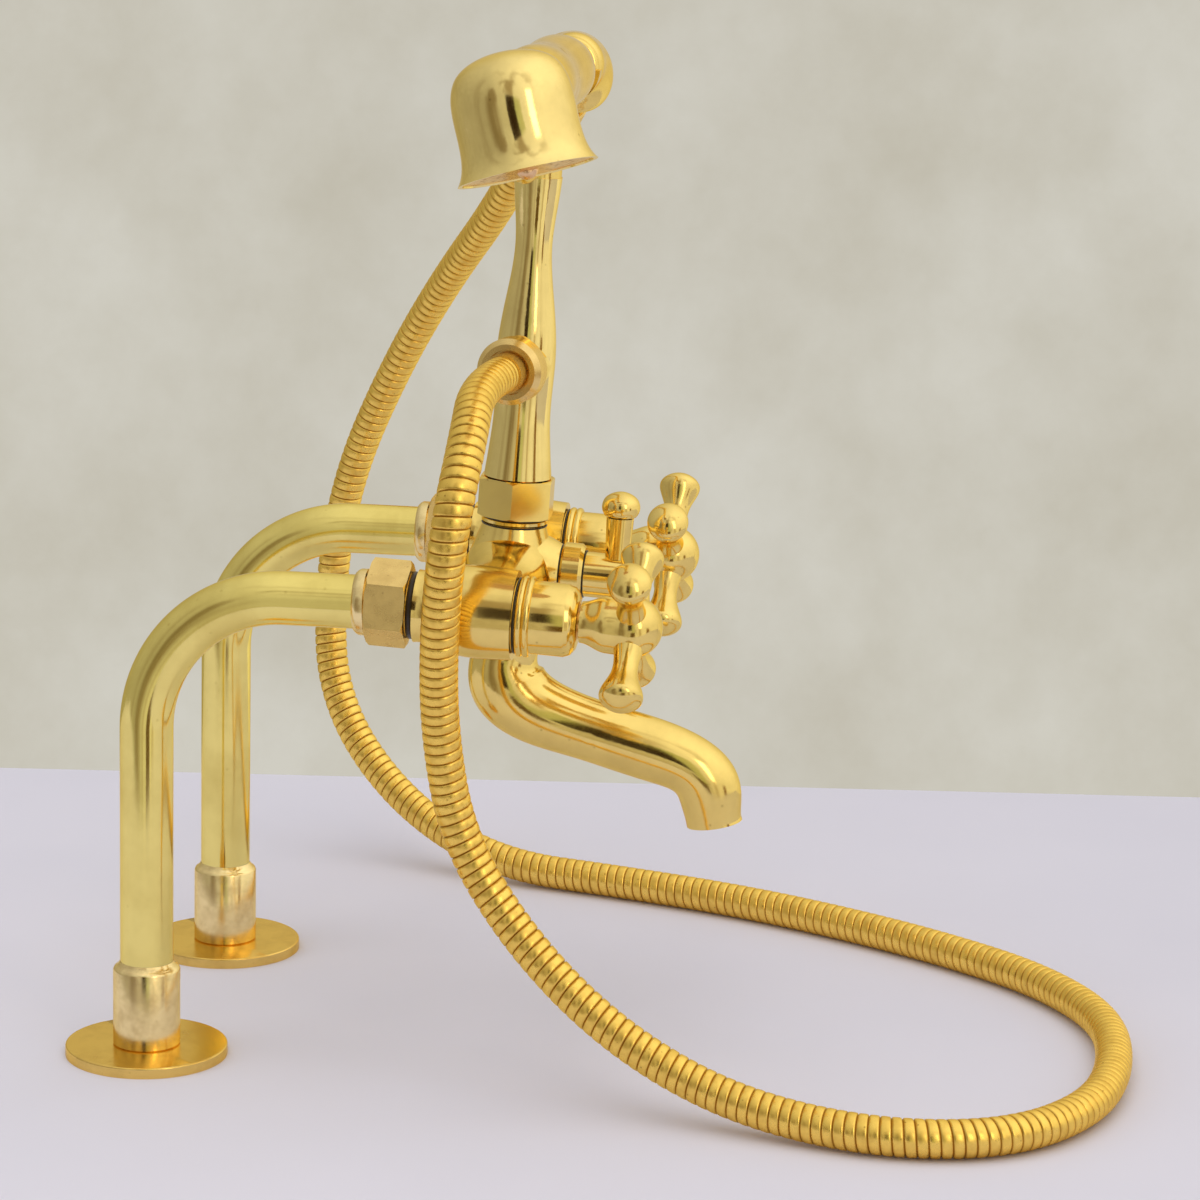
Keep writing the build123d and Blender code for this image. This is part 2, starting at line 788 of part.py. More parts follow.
def riser_column():
    tail_low = column_seat + column_seal_thick
    body = smooth_lathe(
        (riser_bottom, riser_foot_radius),
        ((riser_bottom + riser_waist_height) / 2, (riser_foot_radius * 0.4 + riser_waist_radius * 0.6)),
        (riser_waist_height, riser_waist_radius),
        (riser_hip_height, riser_hip_radius),
        ((riser_hip_height + riser_neck_height) / 2, (riser_hip_radius + riser_neck_radius) / 2),
        (riser_neck_height, riser_neck_radius),
        (riser_head_height - 0.4 * (riser_head_height - riser_neck_height), riser_neck_radius * 1.17),
        (riser_head_height, riser_head_radius),
    )
    body += disc(riser_tail_radius, tail_low, riser_bottom + cut_over)
    flange_top = column_nut_top - column_nut_lip - slip_gap
    body += disc(inlet_thread_outer / 2 - slip_gap, tail_low, flange_top)
    body -= disc(riser_bore_radius, tail_low - cut_over, outlet_height + riser_bore_radius)
    body -= disc(cradle_spigot_radius + slip_gap, riser_head_height - cradle_spigot_length, riser_head_height + cut_over)
    body = at_column * body
    body += outlet_frame * disc(boss_radius, 0, boss_reach)
    body += outlet_frame * disc(nipple_radius, boss_reach - cut_over, boss_reach + nipple_length)
    body -= outlet_frame * disc(riser_bore_radius, 0, boss_reach + nipple_length + cut_over)
    return droop(body)


turn = math.radians(outlet_turn)
outlet_frame = Plane(origin=(0, -column_reach, outlet_height), x_dir=(0, 0, 1), z_dir=(-math.cos(turn), math.sin(turn), 0))
outlet_seat = boss_reach + nipple_length


# Hose ends, built along +Z from the nipple's end face: a washer, a nut and a ferrule
def hose_washer():
    return ring(nipple_radius - slip_gap, riser_bore_radius, 0, hose_washer_thick)


def hose_nut():
    flange_end = hose_washer_thick + ferrule_flange_thick
    nut_end = flange_end + hose_nut_lip
    nut_start = nut_end - hose_nut_length
    nut = lathe(
        (nut_start, hose_nut_radius - hose_nut_bevel / 3),
        (nut_start + hose_nut_bevel / 3, hose_nut_radius),
        (nut_end - hose_nut_bevel, hose_nut_radius),
        (nut_end, hose_nut_radius - hose_nut_bevel),
    )
    nut -= disc(nipple_radius + slip_gap, nut_start - cut_over, flange_end)
    nut -= disc(ferrule_radius + ferrule_play, nut_start, nut_end + cut_over)
    return nut


def hose_ferrule():
    body = disc(ferrule_radius, hose_washer_thick, hose_washer_thick + ferrule_length)
    body += disc(ferrule_flange_radius, hose_washer_thick, hose_washer_thick + ferrule_flange_thick)
    return body - disc(ferrule_radius - 2 * ferrule_wall, 0, hose_washer_thick + ferrule_length + cut_over)


def cradle():
    hub_top = riser_head_height + cradle_hub_height
    arm_height = hub_top - cradle_arm_radius
    fork_inner = neck_radius + fork_play
    fork_outer = fork_inner + fork_wall
    arm_end = handset_height - fork_inner - fork_wall / 2
    body = disc(cradle_hub_radius, riser_head_height, hub_top)
    body += disc(cradle_spigot_radius, riser_head_height - cradle_spigot_length, riser_head_height + cut_over)
    body = at_column * body
    for side in (-1, 1):
        line = FilletPolyline(
            (0, -column_reach, arm_height),
            (side * (fork_reach - fork_arm_run), -column_reach, arm_height),
            (side * fork_reach, -column_reach, arm_end),
            radius=fork_arm_run,
        )
        section = Plane(origin=line @ 0, z_dir=line % 0) * Circle(cradle_arm_radius)
        body += sweep(section, line)
        seat = Pos(side * fork_reach, -column_reach, handset_height)
        body += seat * Rot(0, 90, 0) * Cylinder(fork_outer, fork_width)
    for side in (-1, 1):
        seat = Pos(side * fork_reach, -column_reach, handset_height)
        body -= seat * Rot(0, 90, 0) * Cylinder(fork_inner, 2 * fork_width)
        body -= seat * Pos(0, 0, fork_outer) * Box(2 * fork_width, 3 * fork_outer, 2 * fork_outer)
    return droop(body)


# Handset: everything is set along the grip's line, which lies across the top of the column
def along_grip(piece):
    return Plane(origin=(0, -column_reach, handset_height), x_dir=(0, 0, -1), z_dir=(1, 0, 0)) * piece


def handset_grip():
    grip = smooth_lathe(
        (-grip_near, grip_end_radius),
        (-grip_near * 0.86, grip_radius * 0.955),
        (0, grip_radius),
        (grip_far * 0.86, grip_radius * 0.955),
        (grip_far, grip_end_radius),
    )
    near_neck = rose_centre - rose_radius - rose_socket_depth
    grip += disc(neck_radius, -near_neck, bead_start)
    grip += disc(rose_socket_radius, -rose_centre + rose_radius - rose_wall, -near_neck + cut_over)
    grip -= disc(handset_bore, -rose_centre, bead_start + cut_over)
    return droop(along_grip(grip))


def handset_beads():
    far = bead_start
    bead = bead_length / 2
    body = disc(neck_radius, far, elbow_start)
    bead_wire = bead / 2 * bead_overlap
    for height in (far + bead_wire, far + bead_length - bead_wire):
        body += Pos(0, 0, height) * Torus(bead_radius - bead_wire, bead_wire)
    return droop(along_grip(body - disc(handset_bore, far - cut_over, elbow_start + cut_over)))


def elbow_places():
    # angle share along the bend and radius of each section, then the tail
    station_shares = [(0.0, 0.72), (0.5, 0.88), (0.8, 1.0), (1.0, 0.94)]
    roll = math.radians(elbow_roll)
    down = Vector(0, math.sin(roll), -math.cos(roll))
    ahead = Vector(1, 0, 0)
    lead = elbow_bend_radius * 0.3
    origin = Vector(elbow_start + lead, -column_reach, handset_height)
    places = [(Vector(elbow_start, -column_reach, handset_height), ahead, neck_radius)]
    for bend_share, radius_share in station_shares:
        angle = math.radians(elbow_bend * bend_share)
        centre = origin + ahead * (elbow_bend_radius * math.sin(angle)) + down * (elbow_bend_radius * (1 - math.cos(angle)))
        normal = ahead * math.cos(angle) + down * math.sin(angle)
        places.append((centre, normal, elbow_knuckle_radius * radius_share))
    centre, normal, _ = places[-1]
    places.append((centre + normal * elbow_tail, normal, elbow_end_radius))
    return places


def handset_elbow():
    places = elbow_places()
    side = Vector(0, math.cos(math.radians(elbow_roll)), math.sin(math.radians(elbow_roll)))
    planes = [(Plane(origin=centre, x_dir=side, z_dir=normal), radius) for centre, normal, radius in places]
    body = loft([plane * Circle(radius) for plane, radius in planes])
    end = planes[-1][0]
    body += end * disc(nipple_radius, -cut_over, nipple_length)
    path = Spline([plane.origin for plane, _ in planes], tangents=[planes[0][0].z_dir, end.z_dir])
    body -= sweep(planes[0][0] * Circle(handset_bore), path)
    body -= end * disc(handset_bore, -cut_over, nipple_length + cut_over)
    return droop(body)


def elbow_exit():
    centre, normal, _ = elbow_places()[-1]
    side = Vector(0, math.cos(math.radians(elbow_roll)), math.sin(math.radians(elbow_roll)))
    return Plane(origin=centre + normal * nipple_length, x_dir=side, z_dir=normal)


def rose_plane():
    tilt = math.radians(rose_tilt)
    roll = math.radians(rose_roll)
    mouth = (-math.sin(tilt), -math.cos(tilt) * math.sin(roll), -math.cos(tilt) * math.cos(roll))
    across = (math.cos(tilt), -math.sin(tilt) * math.sin(roll), -math.sin(tilt) * math.cos(roll))
    return Plane(origin=(-rose_centre, -column_reach, handset_height), x_dir=across, z_dir=mouth)


rose_mouth = rose_length - rose_apex


def bell(radius_offset, apex_offset, low_extra):
    radius = rose_radius - radius_offset
    top = -rose_apex + apex_offset
    mouth = rose_mouth
    return smooth_lathe(
        (top, radius * 0.02),
        (top + rose_length * 0.035, radius * 0.5),
        (top + rose_length * 0.14, radius * 0.83),
        (top + rose_length * 0.30, radius * 0.97),
        (top + rose_length * 0.48, radius),
        (mouth - rose_length * 0.24, radius * 1.005),
        (mouth - rose_length * 0.10, radius + (rose_rim_radius - rose_radius) * 0.35),
        (mouth + low_extra, rose_rim_radius - radius_offset),
    )


def shower_rose():
    shell = bell(0, 0, 0) - bell(rose_wall, rose_wall, 0)
    shell = rose_plane() * shell
    inlet = Plane(origin=(-rose_centre, -column_reach, handset_height), z_dir=(1, 0, 0))
    shell -= inlet * disc(rose_socket_radius + slip_gap, 0, rose_centre)
    return droop(shell)


def spray_plate():
    radius = rose_radius - rose_wall
    low = rose_mouth - plate_inset - plate_thick
    plate = disc(rose_rim_radius, low, low + plate_thick) & bell(rose_wall + slip_gap / 2, rose_wall, 0)
    plate -= disc(rose_screw_shank + slip_gap, low - cut_over, rose_mouth + cut_over)
    for ring_number, count in ((1, 6), (2, 12), (3, 18)):
        hole_circle = radius * 0.27 * ring_number
        holes = [hole for hole in PolarLocations(hole_circle, count)]
        for hole in holes:
            plate -= Pos(0, 0, low + plate_thick / 2) * hole * Cylinder(spray_hole_radius, 2 * plate_thick)
    return droop(rose_plane() * plate)


def rose_screw():
    seat = rose_mouth - plate_inset
    dome_radius = (rose_screw_radius ** 2 + rose_screw_head ** 2) / (2 * rose_screw_head)
    dome = Pos(0, 0, seat + rose_screw_head - dome_radius) * Sphere(dome_radius)
    head = dome & disc(2 * rose_screw_radius, seat, seat + 2 * rose_screw_head)
    shank = disc(rose_screw_shank, -rose_apex + 2 * rose_wall, seat + slip_gap)
    return droop(rose_plane() * (head + shank))


# Hose: straight runs joined by tangent arcs, each arc as large as its two runs allow
def corner_radii(points):
    radii = []
    for before, here, after in zip(points, points[1:], points[2:]):
        arriving = here - before
        leaving = after - here
        shorter = min(arriving.length, leaving.length)
        half_turn = math.radians(arriving.get_angle(leaving)) / 2
        radii.append(0.45 * shorter / math.tan(half_turn))
    return radii


def ferrule_end(nipple_end):
    tip = droop(nipple_end.offset(hose_washer_thick + ferrule_length) * Circle(ferrule_radius))
    return tip.center(), tip.faces()[0].normal_at()


def hose_route():
    start, leaving = ferrule_end(outlet_end)
    end, arriving = ferrule_end(elbow_exit())
    first = start + leaving * hose_first_run
    last = end + arriving * hose_last_run
    return [start, first] + [Vector(*point) for point in hose_middle] + [last, end]


def hose_tube():
    points = hose_route()
    radii = corner_radii(points)
    line = FilletPolyline(*points, radius=radii)
    section = Plane(origin=line @ 0, z_dir=line % 0) * Circle(hose_outer / 2)
    tube = sweep(section, line)
    print("hose radii", [round(radius) for radius in radii])
    print("hose length", round(line.length, 1), "volume share", tube.volume / (line.length * section.area))
    print("hose points", [tuple(round(value, 2) for value in point) for point in points])
    return tube


outlet_end = outlet_frame.offset(outlet_seat)


both_sides("deck_flange", deck_flange)
both_sides("lower_collar", lower_collar)
both_sides("leg_tube", leg_tube)
both_sides("deck_tail", deck_tail)
both_sides("union_tail", union_tail)
both_sides("union_nut", union_nut)
both_sides("valve_shroud", valve_shroud)
both_sides("valve_cartridge", valve_cartridge)
both_sides("fixed_disc", fixed_disc)
both_sides("turning_disc", turning_disc)
both_sides("spindle", spindle)
both_sides("handle", cross_handle)
both_sides("handle_screw", handle_screw)
both_sides("handle_cap", handle_cap)


def pair(name, maker):
    save(Compound(children=[maker(-leg_spacing / 2), maker(leg_spacing / 2)]), name)


pair("flange_gaskets", flange_gasket)
pair("deck_washers", deck_washer)
pair("backnuts", backnut)
pair("union_seals", union_seal)

o_rings = [droop(forward(o_ring(o_ring_seat), side)) for side in (-leg_spacing / 2, leg_spacing / 2)]
o_rings.append(droop(forward(o_ring(front_boss_reach), 0, diverter_height)))
save(Compound(children=o_rings), "spindle_o_rings")

save(mixer_body(), "mixer_body")
save(diverter_collar(), "diverter_collar")
save(diverter_barrel(), "diverter_barrel")
save(diverter_pin(), "diverter_pin")
save(diverter_knob(), "diverter_knob")
save(diverter_spindle(), "diverter_spindle")
save(spout(), "spout")
save(spout_seal(), "spout_seal")
save(column_seal(), "column_seal")
save(column_nut(), "column_nut")
save(riser_column(), "riser_column")
save(cradle(), "handset_cradle")
save(droop(outlet_end * hose_nut()), "outlet_hose_nut")
save(droop(outlet_end * hose_ferrule()), "outlet_hose_ferrule")
save(droop(elbow_exit() * hose_nut()), "handset_hose_nut")
save(droop(elbow_exit() * hose_ferrule()), "handset_hose_ferrule")
save(Compound(children=[droop(outlet_end * hose_washer())]), "outlet_hose_washer")
save(Compound(children=[droop(elbow_exit() * hose_washer())]), "handset_hose_washer")
save(handset_grip(), "handset_grip")
save(handset_beads(), "handset_beads")
save(handset_elbow(), "handset_elbow")
save(shower_rose(), "shower_rose")
save(spray_plate(), "spray_plate")
save(rose_screw(), "rose_screw")
save(hose_tube(), "shower_hose")
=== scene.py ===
import math

import bpy
import numpy as np
from bpy.props import FloatProperty, IntProperty, PointerProperty, StringProperty
from mathutils import Matrix, Vector


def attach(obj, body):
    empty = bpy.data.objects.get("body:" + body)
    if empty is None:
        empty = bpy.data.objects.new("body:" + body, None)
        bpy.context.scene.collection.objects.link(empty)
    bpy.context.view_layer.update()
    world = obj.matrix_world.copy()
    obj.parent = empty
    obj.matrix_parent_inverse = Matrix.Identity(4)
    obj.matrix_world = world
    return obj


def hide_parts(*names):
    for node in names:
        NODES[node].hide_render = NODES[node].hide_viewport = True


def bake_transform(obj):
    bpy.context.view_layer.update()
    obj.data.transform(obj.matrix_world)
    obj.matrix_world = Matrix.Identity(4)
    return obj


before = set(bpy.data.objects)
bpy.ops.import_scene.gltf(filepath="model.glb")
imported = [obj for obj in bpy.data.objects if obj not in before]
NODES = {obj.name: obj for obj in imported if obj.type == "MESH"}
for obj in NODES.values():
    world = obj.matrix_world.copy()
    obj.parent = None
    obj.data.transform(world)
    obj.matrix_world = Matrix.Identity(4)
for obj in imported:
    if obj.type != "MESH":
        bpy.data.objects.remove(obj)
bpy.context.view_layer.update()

bl_info = {
    "name": "Bath shower mixer looks",
    "version": (1, 0, 0),
    "blender": (4, 5, 0),
    "location": "3D View > Sidebar > Mixer",
    "description": "Metal finishes, the ribbed hose and the studio for a two-leg bath shower mixer",
    "category": "Object",
}

MM = 0.001
# Brass stays golden where it's seen at a slant.
EDGE_TINT = "#FFEFC0"

# Control points of the hose's line in metres, from the outlet on the column, over the deck, to the
# handset.
HOSE_ROUTE = (
    (-0.03412, -0.13816, 0.28574), (-0.06676, -0.13329, 0.28598), (-0.1, -0.1352, 0.2713),
    (-0.122, -0.13198, 0.24096), (-0.11, -0.1262, 0.19579), (-0.095, -0.12467, 0.14965),
    (-0.089, -0.13204, 0.10491), (-0.095, -0.1564, 0.0687), (-0.108, -0.1899, 0.0396),
    (-0.118, -0.2278, 0.0188), (-0.13, -0.268, 0.0091), (-0.143, -0.316, 0.0081),
    (-0.131, -0.362, 0.008), (-0.091, -0.392, 0.008), (-0.038, -0.4025, 0.008),
    (0.022, -0.399, 0.008), (0.072, -0.371, 0.008), (0.11, -0.328, 0.008),
    (0.142, -0.279, 0.008), (0.168, -0.228, 0.008), (0.1875, -0.171, 0.008),
    (0.2045, -0.104, 0.0085), (0.23, -0.051, 0.032), (0.251, -0.015, 0.075),
    (0.261, -0.011, 0.132), (0.2563, -0.0215, 0.1895), (0.2408, -0.0463, 0.2443),
    (0.2165, -0.074, 0.2905), (0.16117, -0.11038, 0.33733), (0.12988, -0.13121, 0.37326),
)

# One rib of the hose, from groove to groove: places as shares of the pitch, and how deep each lies
# as a share of the rib depth. The groove is narrow and steep, and the crown is nearly flat.
RIB_SHARE = (0.0, 0.04, 0.09, 0.22, 0.5, 0.78, 0.91, 0.96)
RIB_DIP = (1.0, 0.90, 0.26, 0.08, 0.0, 0.08, 0.26, 0.90)
# How fast the brown colour of a groove fades out towards its crown.
GROOVE_FADE = 1.5
# Points of the hose's line closer together than this count as one, in metres.
SAME_POINT = 1e-7
# Places along the hose at which its direction is worked out.
HOSE_STATIONS = 3000
# Rows and columns of the sphere of directions from which one far from the hose's is picked.
FAR_CHOICES = (24, 48)

# Each leg stands this far from the middle, in mm. The turning marks on the flanges run round it,
# one to each pitch in mm.
LEG_OUT = 75.0
LATHE_PITCH = 2.2
# Corners of the CAD meshes closer together than this are joined, in mm.
JOIN_WITHIN = 0.002
# The pieces ahead of the unions lean down by this angle in degrees, about a line at this y and z
# in mm.
DROOP = 2.8
PIVOT = (-104.0, 197.25)
# Dark lines, painted shade where threads and gaps between pieces lie in shadow, and at the column
# the dark line of a sealing ring: name, body, centre, radius, wire, length, and turn from the y
# axis. They are in mm and degrees, as they are before the lean.
SEAMS = (
    ("left_union_thread", "mixer", (-LEG_OUT, -110.2, 197.25), 13.2, 0.5, 1.6, 0.0),
    ("right_union_thread", "mixer", (LEG_OUT, -110.2, 197.25), 13.2, 0.5, 1.6, 0.0),
    ("left_shroud_line", "mixer", (-LEG_OUT, -152.7, 197.25), 15.0, 0.5, 0.0, 0.0),
    ("right_shroud_line", "mixer", (LEG_OUT, -152.7, 197.25), 15.0, 0.5, 0.0, 0.0),
    ("diverter_collar_line", "mixer", (0.0, -160.1, 200.75), 11.5, 0.3, 0.0, 0.0),
    ("diverter_barrel_line", "mixer", (0.0, -170.3, 200.75), 9.8, 0.3, 0.0, 0.0),
    ("column_ring_upper", "mixer", (0.0, -138.9, 222.9), 13.5, 0.45, 0.0, 90.0),
    ("column_ring_lower", "mixer", (0.0, -138.9, 219.7), 13.6, 0.30, 0.0, 90.0),
    ("knob_line", "diverter_lever", (0.0, -183.4, 226.7), 4.75, 0.3, 0.0, 90.0),
)
# Points round a dark ring, and round its wire.
RING_STEPS = 96
WIRE_STEPS = 12

# The camera: its place in metres, its right and up directions, the width of its sensor and its lens
# in mm, and the nearest and furthest that it sees in metres.
CAMERA_PLACE = (-1.553, -0.360, 0.525)
CAMERA_RIGHT = (0.1223, -0.9922, 0.0248)
CAMERA_UP = (0.2070, 0.0500, 0.9771)
CAMERA_SENSOR = 36.0
CAMERA_LENS = 113.9
CAMERA_RANGE = (0.05, 50)

# The floor's corners, and the point that the lamps face, in metres.
FLOOR = ((-0.46, 1.6, 0), (-0.46, -1.7, 0), (0.587, -1.7, 0), (0.190, 1.6, 0))
MIDDLE = (0.0, -0.12, 0.2)
# Lamps: name, place and size in metres, power in watts, colour, and whether polished metal mirrors
# them.
LAMPS = (
    ("softbox_over", (-0.3, -0.3, 1.9), (2.4, 2.4), 19, "#FFFFFF", False),
    ("softbox_side", (-0.8, 1.5, 1.1), (1.4, 1.4), 6, "#FFFFFF", False),
    ("window", (-1.45, -1.25, 0.85), (0.34, 1.0), 2.2, "#FFE9C8", True),
)
# Upright sheets that only polished metal mirrors, and that glow with their own colours as painted
# reflections: name, two colours, and two opposite corners in metres.
CARDS = (
    ("painted_reflection_dark_high", "#20150B", "#3A2814", (-2.4, -0.48, 0.1), (-2.4, 0.12, 1.3)),
    ("painted_reflection_green", "#C9CBA0", "#B4B98C", (-2.4, -0.95, -0.9), (-2.4, -0.48, 1.3)),
    ("painted_reflection_dark_low", "#3C2A0E", "#7A5C24", (-1.35, -0.62, -0.9), (-1.35, -0.24, -0.02)),
    ("painted_reflection_brown", "#9A7430", "#6A4A18", (-0.9, -1.75, -0.9), (-0.5, -1.55, 0.25)),
)

# Which pieces have which finish, in the order in which the finishes are made. A name with a star
# stands for the left and the right piece.
FINISH_OF = {
    "drawn_brass_tube_polished": ("*_leg_tube",),
    "bronze_collar_soldered": ("*_lower_collar", "*_union_tail"),
    "turned_brass_disc": ("*_deck_flange",),
    "cast_brass_mirror_polished": (
        "mixer_body", "*_valve_shroud", "*_handle", "*_handle_cap", "*_handle_screw", "spout",
        "diverter_collar", "diverter_barrel", "diverter_pin", "diverter_knob", "column_nut",
        "handset_cradle", "handset_grip", "handset_beads", "handset_elbow",
    ),
    "spun_brass_polished": ("riser_column", "shower_rose"),
    "machined_brass_satin": (
        "*_union_nut", "*_deck_tail", "deck_washers", "backnuts", "outlet_hose_nut",
        "outlet_hose_ferrule", "handset_hose_nut", "handset_hose_ferrule", "diverter_spindle",
        "*_valve_cartridge", "*_spindle",
    ),
    "pressed_brass_sheet": ("spray_plate", "rose_screw"),
    "black_rubber_moulded": (
        "flange_gaskets", "union_seals", "spindle_o_rings", "spout_seal", "column_seal",
        "outlet_hose_washer", "handset_hose_washer",
    ),
    "alumina_ceramic_lapped": ("*_fixed_disc", "*_turning_disc"),
}


class MixerSizes(bpy.types.PropertyGroup):
    """Sizes that a user may change"""

    hose_diameter: FloatProperty(
        name="Hose diameter", description="Outside diameter of the ribbed hose",
        default=15.6 * MM, unit="LENGTH")
    rib_pitch: FloatProperty(
        name="Rib pitch", description="Distance from one rib of the hose to the next",
        default=4.45 * MM, unit="LENGTH")
    rib_depth: FloatProperty(
        name="Rib depth", description="How far the groove between two ribs goes in",
        default=0.75 * MM, unit="LENGTH")
    smooth_angle: FloatProperty(
        name="Smooth angle", description="Edges sharper than this stay sharp",
        default=math.radians(32), subtype="ANGLE")
    hose_sides: IntProperty(
        name="Hose sides", description="Points round the hose", default=30, min=12, max=64)


class MixerColours(bpy.types.PropertyGroup):
    """Colours that a user may change, as sRGB hex values"""

    tube: StringProperty(name="Leg tube", description="Polished drawn brass", default="#FBE78C")
    cast: StringProperty(name="Castings", description="Mirror polished brass", default="#F7D981")
    spun: StringProperty(
        name="Spun pieces", description="Spun and polished brass", default="#FBE294")
    turned: StringProperty(name="Flanges", description="Turned brass", default="#F0CB74")
    collar: StringProperty(name="Collars", description="Bronze collars", default="#FCE4A6")
    nut: StringProperty(name="Nuts", description="Satin machined brass", default="#F0D088")
    hose: StringProperty(name="Hose", description="Interlocked brass strip", default="#FFD76C")
    plate: StringProperty(name="Spray plate", description="Pressed brass", default="#EFC79A")
    tarnish: StringProperty(
        name="Tarnish", description="Brown oxide in low places", default="#7A4E17")
    floor: StringProperty(name="Floor", description="Pale cloth on the deck", default="#E3E0EA")
    wall: StringProperty(name="Wall", description="Pale plaster behind", default="#CECBC0")


def linear(colour):
    """A colour written as sRGB hex, as linear RGBA."""
    values = [int(colour[i:i + 2], 16) / 255 for i in (1, 3, 5)]
    return (*(v / 12.92 if v <= 0.04045 else ((v + 0.055) / 1.055) ** 2.4 for v in values), 1.0)


def add_node(tree, kind, links=None, values=None, **settings):
    """Adds a node with its settings, its fixed inputs and its links, and gives it back."""
    node = tree.nodes.new(kind)
    for name, value in settings.items():
        setattr(node, name, value)
    for key, value in (values or {}).items():
        node.inputs[key].default_value = value
    for key, socket in (links or {}).items():
        tree.links.new(socket, node.inputs[key])
    return node


def new_material(name):
    """An empty node material and its output node."""
    material = bpy.data.materials.new(name)
    material.use_nodes = True
    material.node_tree.nodes.clear()
    return material, material.node_tree, add_node(material.node_tree, "ShaderNodeOutputMaterial")


def noise(tree, place, scale, detail=2.0, roughness=0.5):
    """A cloudy pattern between 0 and 1."""
    return add_node(tree, "ShaderNodeTexNoise", {"Vector": place},
                    {"Scale": scale, "Detail": detail, "Roughness": roughness}).outputs["Fac"]


def spread(tree, value, low, high, first=0.0, last=1.0):
    """Values from low to high, moved to the range from first to last and held inside it."""
    node = add_node(tree, "ShaderNodeMapRange", {"Value": value},
                    {"From Min": low, "From Max": high, "To Min": first, "To Max": last})
    return node.outputs["Result"]


def mixed(tree, share, first, second):
    """Two colours mixed. Each is an sRGB hex value or the output of another node."""
    node = add_node(tree, "ShaderNodeMix", {"Factor": share}, data_type="RGBA")
    for name, colour in (("A", first), ("B", second)):
        if isinstance(colour, str):
            node.inputs[name].default_value = linear(colour)
        else:
            tree.links.new(colour, node.inputs[name])
    return node.outputs["Result"]


def speckled(tree, place, colour, speck_colour, size, share, inner, outer):
    """A colour with small round specks, one to each size in mm, that fade from inner to outer."""
    dots = add_node(tree, "ShaderNodeTexVoronoi", {"Vector": place}, {"Scale": 1 / (size * MM)})
    speck = spread(tree, dots.outputs["Distance"], inner, outer, share, 0.0)
    return mixed(tree, speck, colour, speck_colour)


def bumped(tree, height, strength, distance):
    """The surface direction with fine relief, as deep as the distance in mm."""
    return add_node(tree, "ShaderNodeBump", {"Height": height},
                    {"Strength": strength, "Distance": distance * MM}).outputs["Normal"]


def surfaced(tree, out, links, values):
    """Joins a Principled surface to the material's output."""
    surface = add_node(tree, "ShaderNodeBsdfPrincipled", links, values)
    tree.links.new(surface.outputs["BSDF"], out.inputs["Surface"])


def turning_marks(tree, place):
    """Rings round each leg's line, as a lathe tool leaves them."""
    parts = add_node(tree, "ShaderNodeSeparateXYZ", {"Vector": place})
    across = add_node(tree, "ShaderNodeMath", {0: parts.outputs["X"]}, operation="ABSOLUTE")
    flat = add_node(tree, "ShaderNodeCombineXYZ",
                    {"X": across.outputs["Value"], "Y": parts.outputs["Y"]})
    centred = add_node(tree, "ShaderNodeVectorMath", {0: flat.outputs["Vector"]},
                       {1: (LEG_OUT * MM, 0.0, 0.0)}, operation="SUBTRACT")
    rings = add_node(tree, "ShaderNodeTexWave", {"Vector": centred.outputs["Vector"]},
                     {"Scale": 1 / (LATHE_PITCH * MM), "Distortion": 0.6, "Detail": 2.0,
                      "Detail Scale": 4.0},
                     wave_type="RINGS", rings_direction="Z")
    return rings.outputs["Fac"]


def brass(name, colour, tarnish, roughness, patch, patch_share, grain, speck_size, speck_share,
          grain_height=0.012, lathe=False):
    """Bare brass. Slow patches shift its colour a little towards the oxide, specks mark where
    solder or casting pores were, and a fine grain, in mm along x, y and z, breaks the gloss as a
    buffing wheel does. A lathe finish adds rings round the leg's line."""
    material, tree, out = new_material(name)
    place = add_node(tree, "ShaderNodeTexCoord").outputs["Object"]
    patches = noise(tree, place, 1 / (patch * MM), 4.0, 0.6)
    clouded = mixed(tree, spread(tree, patches, 0.42, 0.75, 0.0, patch_share), colour, tarnish)
    spotted = speckled(tree, place, clouded, tarnish, speck_size, speck_share, 0.03, 0.10)
    stretched = add_node(tree, "ShaderNodeMapping", {"Vector": place},
                         {"Scale": tuple(1 / (size * MM) for size in grain)})
    height = noise(tree, stretched.outputs["Vector"], 1.0, 3.0, 0.55)
    if lathe:
        height = add_node(tree, "ShaderNodeMath", {0: height, 1: turning_marks(tree, place)},
                          operation="ADD").outputs["Value"]
    surfaced(tree, out,
             {"Base Color": spotted, "Roughness": spread(tree, patches, 0.3, 0.7, *roughness),
              "Normal": bumped(tree, height, 0.35, grain_height)},
             {"Metallic": 1.0, "Specular Tint": linear(EDGE_TINT)})
    return material


def moulded(name, colour, worn, roughness, grain):
    """Rubber, fired ceramic, or the near black of the seam rings that paint shade into the gaps:
    one colour clouded by a fine grain in mm, dull or glossy.
    """
    material, tree, out = new_material(name)
    place = add_node(tree, "ShaderNodeTexCoord").outputs["Object"]
    cloud = noise(tree, place, 1 / (grain * MM), 3.0)
    surfaced(tree, out,
             {"Base Color": mixed(tree, cloud, colour, worn),
              "Normal": bumped(tree, cloud, 0.3, 0.02)},
             {"Roughness": roughness})
    return material


